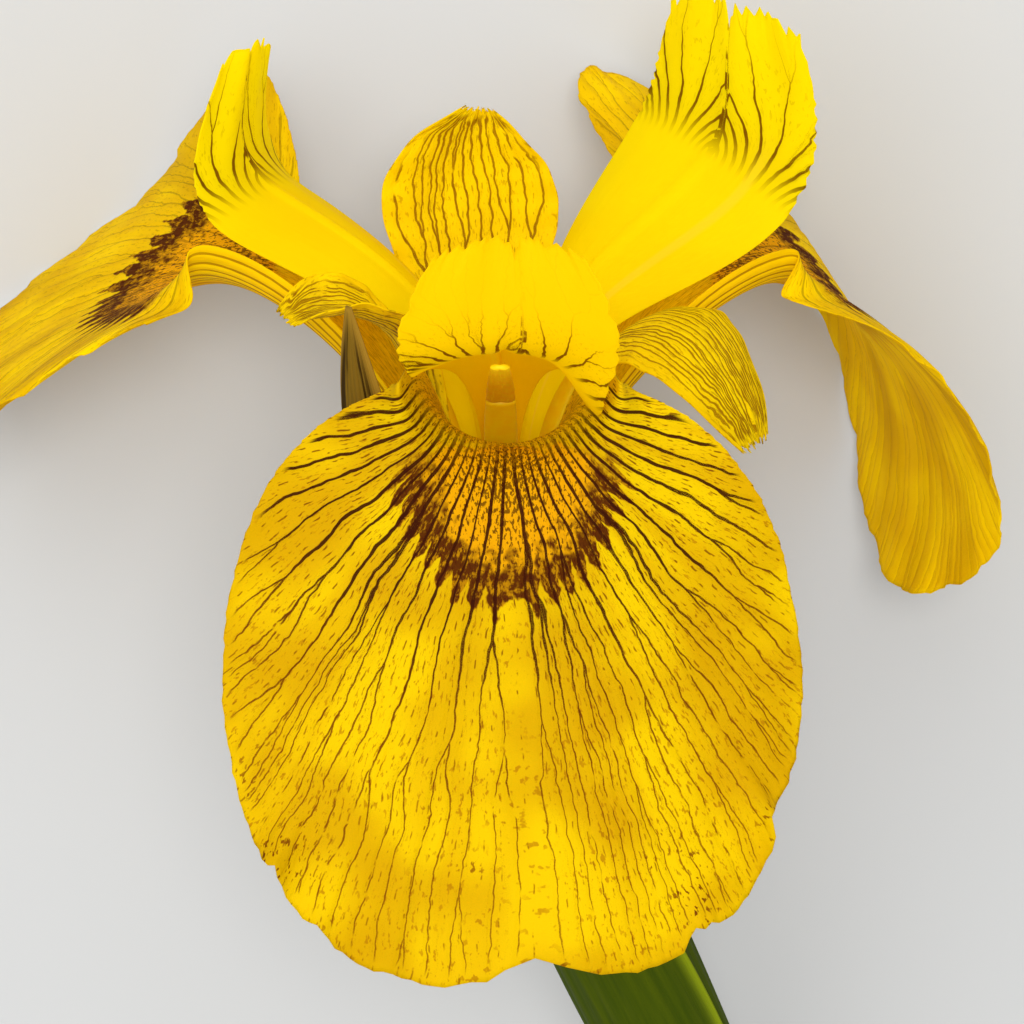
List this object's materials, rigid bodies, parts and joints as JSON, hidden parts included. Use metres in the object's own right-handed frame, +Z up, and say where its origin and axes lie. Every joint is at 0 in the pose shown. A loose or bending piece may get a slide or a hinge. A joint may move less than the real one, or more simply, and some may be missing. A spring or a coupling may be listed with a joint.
{
  "type": "iris flower",
  "caption": "Cut iris flower lying on its back: broad veined falls, small standards, crested style arms, folded spathes and a short green stem.",
  "frame": {"origin": "middle of the flower's underside, on the surface it lies on", "axes": "+Z up from that surface, +Y from the cut end of the stem towards the flower's head; the front fall's face is up"},
  "size_m": [0.1048, 0.1804, 0.0854],
  "materials": {
    "petal_fall": "soft matte petal, yellow with dark brown veins and a brown signal patch",
    "petal_standard": "soft matte petal, yellow with olive-brown branching veins",
    "style_petal": "smooth bright yellow petal tissue with a few brown veins on the crest",
    "filament": "pale yellow, smooth and slightly moist",
    "anther": "amber, dusty with pollen",
    "tube": "yellow-green, smooth",
    "ovary": "green, faintly ribbed, smooth",
    "spathe": "green leaf tissue with fine parallel veins and a withered brown papery tip",
    "stem": "green, fine lengthwise fibres, slightly waxy"
  },
  "bodies": {
    "root": {"anther_front": "anther", "anther_left": "anther", "anther_right": "anther", "fall_front": "petal_fall", "fall_left": "petal_fall", "fall_right": "petal_fall", "filament_front": "filament", "filament_left": "filament", "filament_right": "filament", "ovary": "ovary", "perianth_tube": "tube", "spathe_inner": "spathe", "spathe_outer": "spathe", "standard_back": "petal_standard", "standard_left": "petal_standard", "standard_right": "petal_standard", "stem": "stem", "style_arm_front": "style_petal", "style_arm_left": "style_petal", "style_arm_right": "style_petal"}
  },
  "joints": []
}
